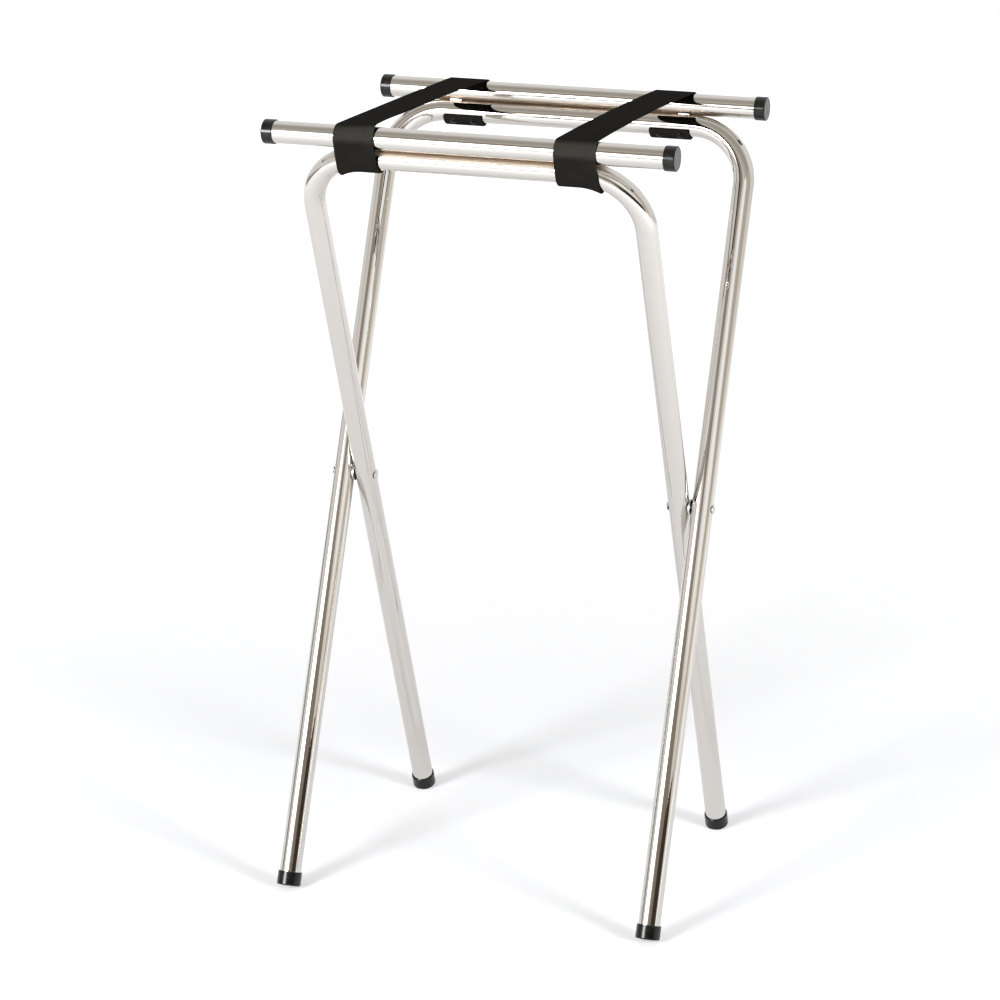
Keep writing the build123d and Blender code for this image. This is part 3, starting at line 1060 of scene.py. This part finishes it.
@dataclass
class Studio:
    """White floor, pale room with a grey ceiling, lamps on both sides, things to mirror, and the camera."""

    floor_radius: float = 7.0
    facets: int = 96
    # The paper's tone and its lift to white, near the stand and far off, and where these lie.
    floor_tone: str = "#DDDEE1"
    far_tone: str = "#B0B1B4"
    floor_lift: float = 0.28
    far_lift: float = 1.0
    floor_near: float = 0.5
    floor_far: float = 3.5
    # Part of the way from near to far at which the lift is full.
    lift_full: float = 0.88
    room_light: float = 0.45
    # Tones of the room from the front wall over the ceiling to the back wall, by angle in degrees.
    room: tuple[tuple[float, str], ...] = (
        (31, "#F4F2EF"),
        (43, "#D2CEC8"),
        (55, "#BCB7AF"),
        (66, "#B8B3AB"),
        (79, "#BFBAB2"),
        (94, "#E0DDD8"),
        (107, "#FFFFFF"),
    )
    left_wall: str = "#FCFAF7"
    right_wall: str = "#FCF7F0"
    # How far to the side a direction points where a side wall starts, and where it is all there is.
    wall_range: tuple[float, float] = (0.80, 0.95)
    lamps: tuple[Lamp, ...] = (
        Lamp("key_lamp", azimuth=-22.0, height=2.06, size=(1.2, 1.2), power=205.0),
        Lamp("left_panel", azimuth=-27.0, height=1.65, size=(3.2, 1.9), power=92.0),
        Lamp("right_lamp", azimuth=66.0, height=1.5, size=(1.3, 1.3), power=260.0),
    )
    front_panel: SoftPanel = SoftPanel("front_panel", azimuth=-27.0, half_width=22.0, low=0.44, high=2.86)
    cards: tuple[Card, ...] = (
        Card(
            "dark_card",
            rows=(
                (0.1, 47.0, 28.0, "#463F38"),
                (0.6, 46.0, 27.0, "#463F38"),
                (0.95, 42.0, 24.0, "#463F38"),
                (1.25, 35.0, 19.0, "#463F38"),
                (1.5, 28.5, 13.5, "#463F38"),
                (1.7, 24.0, 10.0, "#5A5349"),
                (1.85, 22.0, 9.0, "#8F8578"),
            ),
        ),
        Card(
            "brown_card",
            rows=(
                (1.2, 30.0, 22.0, "#8F8578"),
                (1.6, 24.0, 19.0, "#988E80"),
                (2.2, 13.0, 18.0, "#9C9284"),
                (2.6, 5.0, 18.0, "#A79C8D"),
                (3.4, -8.0, 18.0, "#A79C8D"),
                (4.5, -14.0, 18.0, "#A79C8D"),
            ),
            distance=5.1,
        ),
        Card(
            "window_card",
            rows=(
                (1.1, 68.0, 9.0, "#D8D2C8"),
                (1.6, 64.0, 10.0, "#F6F3EE"),
                (2.0, 56.0, 11.0, "#FFFFFF"),
                (3.0, 42.0, 12.0, "#FFFFFF"),
                (4.2, 36.0, 12.0, "#FFFFFF"),
            ),
            glow=1.3,
            distance=5.2,
        ),
        Card(
            "right_card",
            rows=((0.55, 84.0, 14.0, "#F1EDE6"), (0.9, 83.0, 15.0, "#D3CABE"), (4.2, 78.0, 16.0, "#D3CABE")),
            distance=5.3,
        ),
        Card(
            "left_card",
            rows=(
                (0.0, -85.0, 24.0, "#A6A39D"),
                (0.5, -85.0, 24.0, "#A6A39D"),
                (0.8, -85.0, 24.0, "#F4F2EE"),
            ),
        ),
    )
    aim: tuple[float, float, float] = (0.0, 0.0, 0.4572)
    azimuth: float = math.radians(19.975)
    elevation: float = math.radians(16.189)
    roll: float = math.radians(0.229)
    distance: float = 3.804
    lens: float = 116.668
    shift: tuple[float, float] = (-0.020095, -0.004274)

    def floor(self) -> None:
        """Lays the floor, which is white to the eye and to gloss and keeps the shadows."""
        bpy.ops.object.select_all(action="DESELECT")
        bpy.ops.mesh.primitive_circle_add(vertices=self.facets, radius=self.floor_radius, fill_type="NGON")
        floor = bpy.context.object
        floor.name = "studio_floor"
        material, nodes, output = glowing_material("white_paper_floor")
        seen = nodes.add("LightPath")
        rays = {0: seen["Is Camera Ray"], 1: seen["Is Glossy Ray"]}
        shown = nodes.add("Math", rays, operation="MAXIMUM")[0]
        place = nodes.add("TexCoord")["Object"]
        away = nodes.add("VectorMath", {0: place}, operation="LENGTH")["Value"]
        reach = {"From Min": self.floor_near, "From Max": self.floor_far}
        far = nodes.add("MapRange", {"Value": away, **reach})["Result"]
        lifts = {"From Max": self.lift_full, "To Min": self.floor_lift, "To Max": self.far_lift}
        need = nodes.add("MapRange", {"Value": far, **lifts})["Result"]
        lift = nodes.add("Math", {0: shown, 1: need}, operation="MULTIPLY")[0]
        tones = {FACTOR: far, COLOUR_A: linear(self.floor_tone), COLOUR_B: linear(self.far_tone)}
        tone = nodes.add("Mix", tones, data_type="RGBA")[COLOUR_OUT]
        paper = nodes.add("BsdfDiffuse", {"Color": tone})[0]
        glow = nodes.add("Emission", {"Strength": lift})[0]
        nodes.feed(output, {"Surface": nodes.add("AddShader", {0: paper, 1: glow})[0]})
        floor.data.materials.append(material)

    def surroundings(self) -> None:
        """Makes the world: white to the camera, and a pale room with a grey ceiling to the object."""
        world = bpy.data.worlds.new("studio")
        world.use_nodes = True
        bpy.context.scene.world = world
        nodes = Nodes(world.node_tree)
        way = nodes.add("SeparateXYZ", {0: nodes.add("TexCoord")["Generated"]})
        front = nodes.add("Math", {0: way["Y"], 1: -1.0}, operation="MULTIPLY")[0]
        angle = nodes.add("Math", {0: way["Z"], 1: front}, operation="ARCTAN2")[0]
        part = nodes.add("Math", {0: angle, 1: 1 / math.pi}, operation="MULTIPLY")[0]
        room = nodes.add("ValToRGB", {"Fac": part})["Color"]
        stops = room.node.color_ramp.elements
        while len(stops) < len(self.room):
            stops.new(1.0)
        for stop, (degrees, tone) in zip(stops, self.room):
            stop.position = degrees / 180
            stop.color = linear(tone)
        start, full = self.wall_range
        for sign, tone in ((-1.0, self.left_wall), (1.0, self.right_wall)):
            span = {"Value": way["X"], "From Min": start * sign, "From Max": full * sign}
            side = nodes.add("MapRange", span, interpolation_type="SMOOTHSTEP")["Result"]
            tones = {FACTOR: side, COLOUR_A: room, COLOUR_B: linear(tone)}
            room = nodes.add("Mix", tones, data_type="RGBA")[COLOUR_OUT]
        seen = nodes.add("LightPath")
        tones = {FACTOR: seen["Is Camera Ray"], COLOUR_A: room, COLOUR_B: (1.0, 1.0, 1.0, 1.0)}
        shown = nodes.add("Mix", tones, data_type="RGBA")[COLOUR_OUT]
        span = {"Value": seen["Is Diffuse Ray"], "To Min": 1.0, "To Max": self.room_light}
        light = nodes.add("MapRange", span)["Result"]
        nodes.feed(world.node_tree.nodes["Background"], {"Color": shown, "Strength": light})

    def camera(self) -> None:
        """Sets the camera at the photograph's viewing angle."""
        data = bpy.data.cameras.new("camera")
        data.lens = self.lens
        data.shift_x, data.shift_y = self.shift
        camera = bpy.data.objects.new("camera", data)
        bpy.context.scene.collection.objects.link(camera)
        flat, height = math.cos(self.elevation), math.sin(self.elevation)
        back = Vector((flat * math.sin(self.azimuth), -flat * math.cos(self.azimuth), height))
        right = Vector((math.cos(self.azimuth), math.sin(self.azimuth), 0.0))
        right = (right * math.cos(self.roll) + back.cross(right) * math.sin(self.roll)).normalized()
        basis = Matrix((right, back.cross(right), back)).transposed().to_4x4()
        camera.matrix_world = Matrix.Translation(Vector(self.aim) + back * self.distance) @ basis
        bpy.context.scene.camera = camera

    def build(self) -> None:
        """Sets up the floor, the light and the camera."""
        self.floor()
        self.surroundings()
        for prop in (*self.lamps, self.front_panel, *self.cards):
            prop.build()
        self.camera()
        bpy.context.scene.view_settings.view_transform = "Standard"


def main() -> None:
    """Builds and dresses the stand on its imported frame."""
    logging.basicConfig(level=logging.INFO, format="%(name)s: %(message)s")
    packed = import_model()
    stance = Stance.read(packed["record"])
    plans = {frame: FramePlan(frame, stance, Tubing()) for frame in Frame}
    plate = ChromePlate().material()
    webbing = WovenWebbing().material()
    finishes = {
        Finish.PLATE: plate,
        Finish.STEEL: PlatedSteel().material(),
        Finish.BLACK: BlackenedSteel().material(),
        Finish.VINYL: MouldedVinyl().material(),
    }
    assemblies = [(TubeFrame(plan), plate) for plan in plans.values()] + [(Straps(plans), webbing)]
    for assembly, material in assemblies:
        pieces = assembly.build()
        assembly.dress(pieces, material)
        for piece in pieces:
            log.info("built %s", piece.name)
    for name in Hardware(finishes).dress(packed["nodes"]):
        log.info("dressed %s", name)
    Studio().build()


if __name__ == "__main__":
    main()
